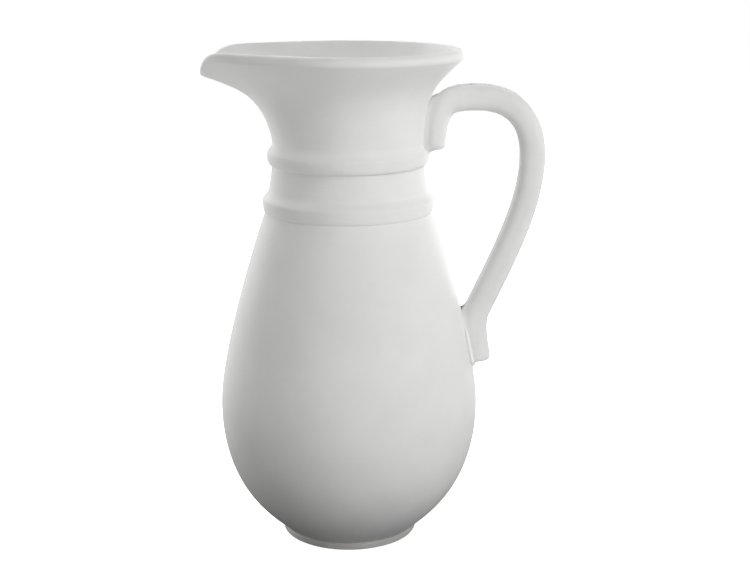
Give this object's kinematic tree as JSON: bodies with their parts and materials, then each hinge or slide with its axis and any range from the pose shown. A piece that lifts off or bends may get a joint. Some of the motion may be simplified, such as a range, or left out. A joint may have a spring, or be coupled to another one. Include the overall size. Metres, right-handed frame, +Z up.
{
  "type": "ceramic pitcher",
  "caption": "Tall thrown ceramic pitcher with a pear-shaped body on a foot ring, two raised neck bands, a flared mouth with a pulled spout, and a strap handle.",
  "frame": {"origin": "centre of the whole pitcher's box in X and Y, on the plane of the foot ring's underside; the round vessel's own axis is 12.4 mm toward -X from it", "axes": "+Z up out of the mouth, +X toward the handle, -X toward the spout, +Y across"},
  "size_m": [0.1904, 0.1472, 0.2794],
  "materials": {
    "foot_ring": "matte",
    "body": "matte",
    "lower_neck_band": "matte",
    "neck_collar": "matte",
    "upper_neck_band": "matte",
    "flared_mouth": "matte",
    "handle": "matte",
    "handle_slip_coil": "matte"
  },
  "bodies": {
    "root": {"foot_ring": "foot_ring", "body": "body", "lower_neck_band": "lower_neck_band", "neck_collar": "neck_collar", "upper_neck_band": "upper_neck_band", "flared_mouth": "flared_mouth", "handle": "handle", "handle_slip_coil": "handle_slip_coil"}
  },
  "joints": []
}
